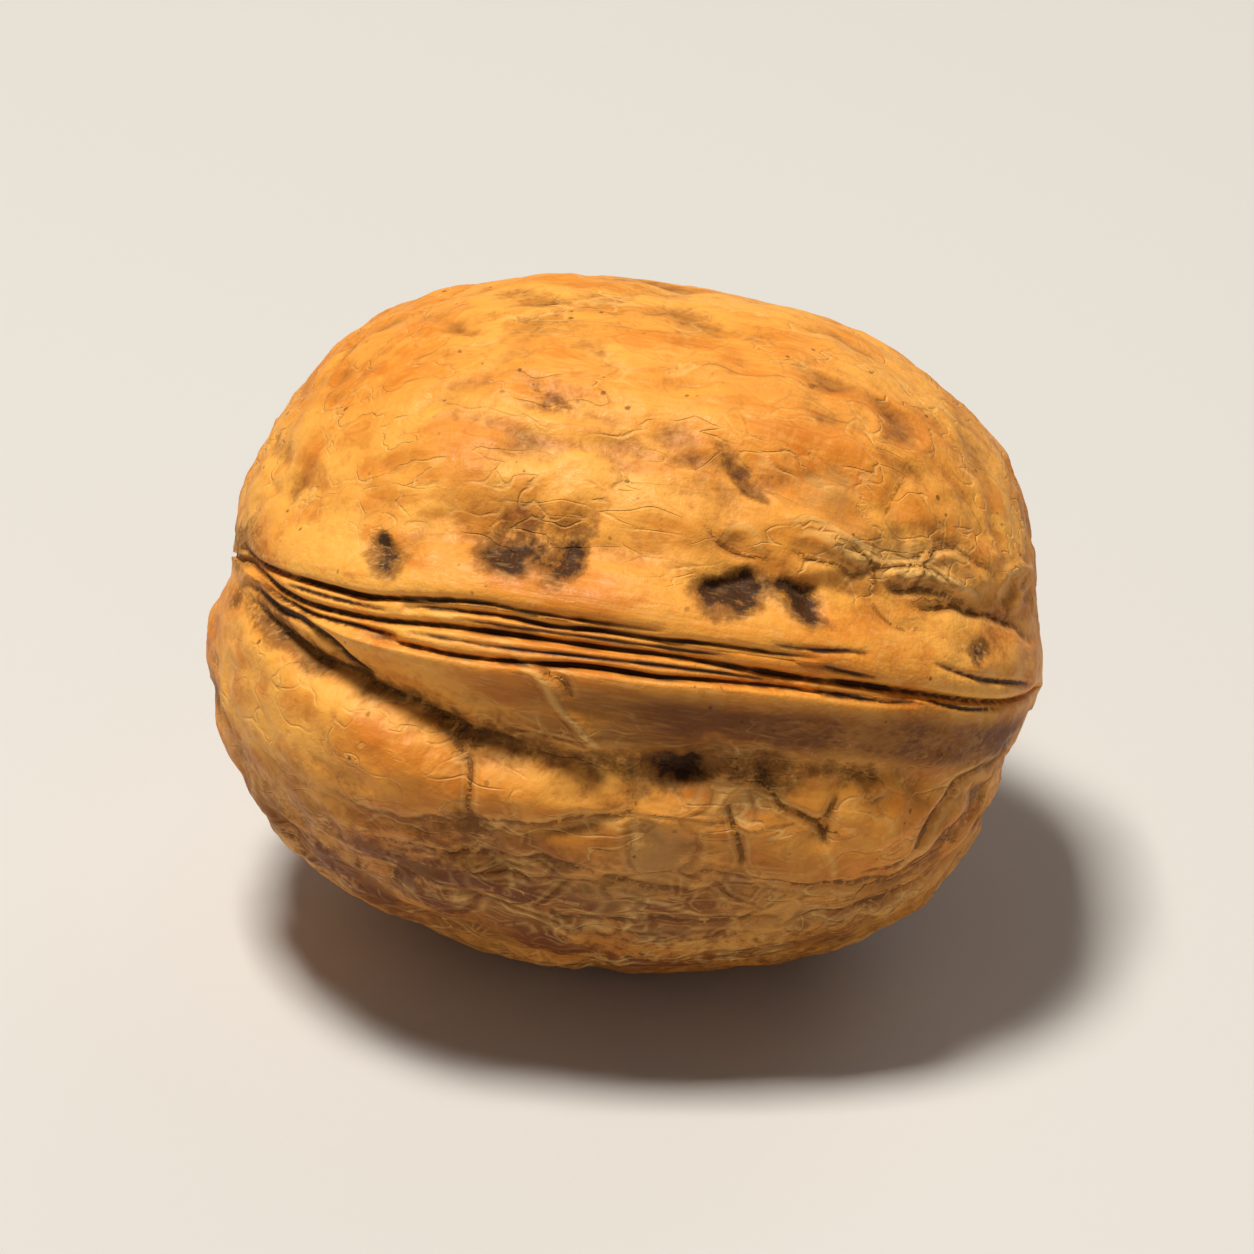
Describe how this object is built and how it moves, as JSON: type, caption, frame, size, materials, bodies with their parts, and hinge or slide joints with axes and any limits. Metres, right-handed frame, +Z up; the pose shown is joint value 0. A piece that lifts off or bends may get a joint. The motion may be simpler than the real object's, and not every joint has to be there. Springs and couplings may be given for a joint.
{
  "type": "walnut",
  "caption": "Whole walnut in its shell, lying on its side with the seam facing out, a pointed tip at one end and the stem scar at the other.",
  "frame": {"origin": "on the surface that the nut lies on, under the centre of its bounding box", "axes": "+X along the nut from the stem end to the pointed tip, +Z up, with the seam that shows best facing -Y and about 28 degrees upwards"},
  "size_m": [0.0401, 0.0322, 0.0329],
  "materials": {
    "walnut_shell": "dry natural shell, golden tan with paler raised veins and dark brown stains in the pits and along the seam"
  },
  "bodies": {
    "root": {"walnut": "walnut_shell"}
  },
  "joints": []
}
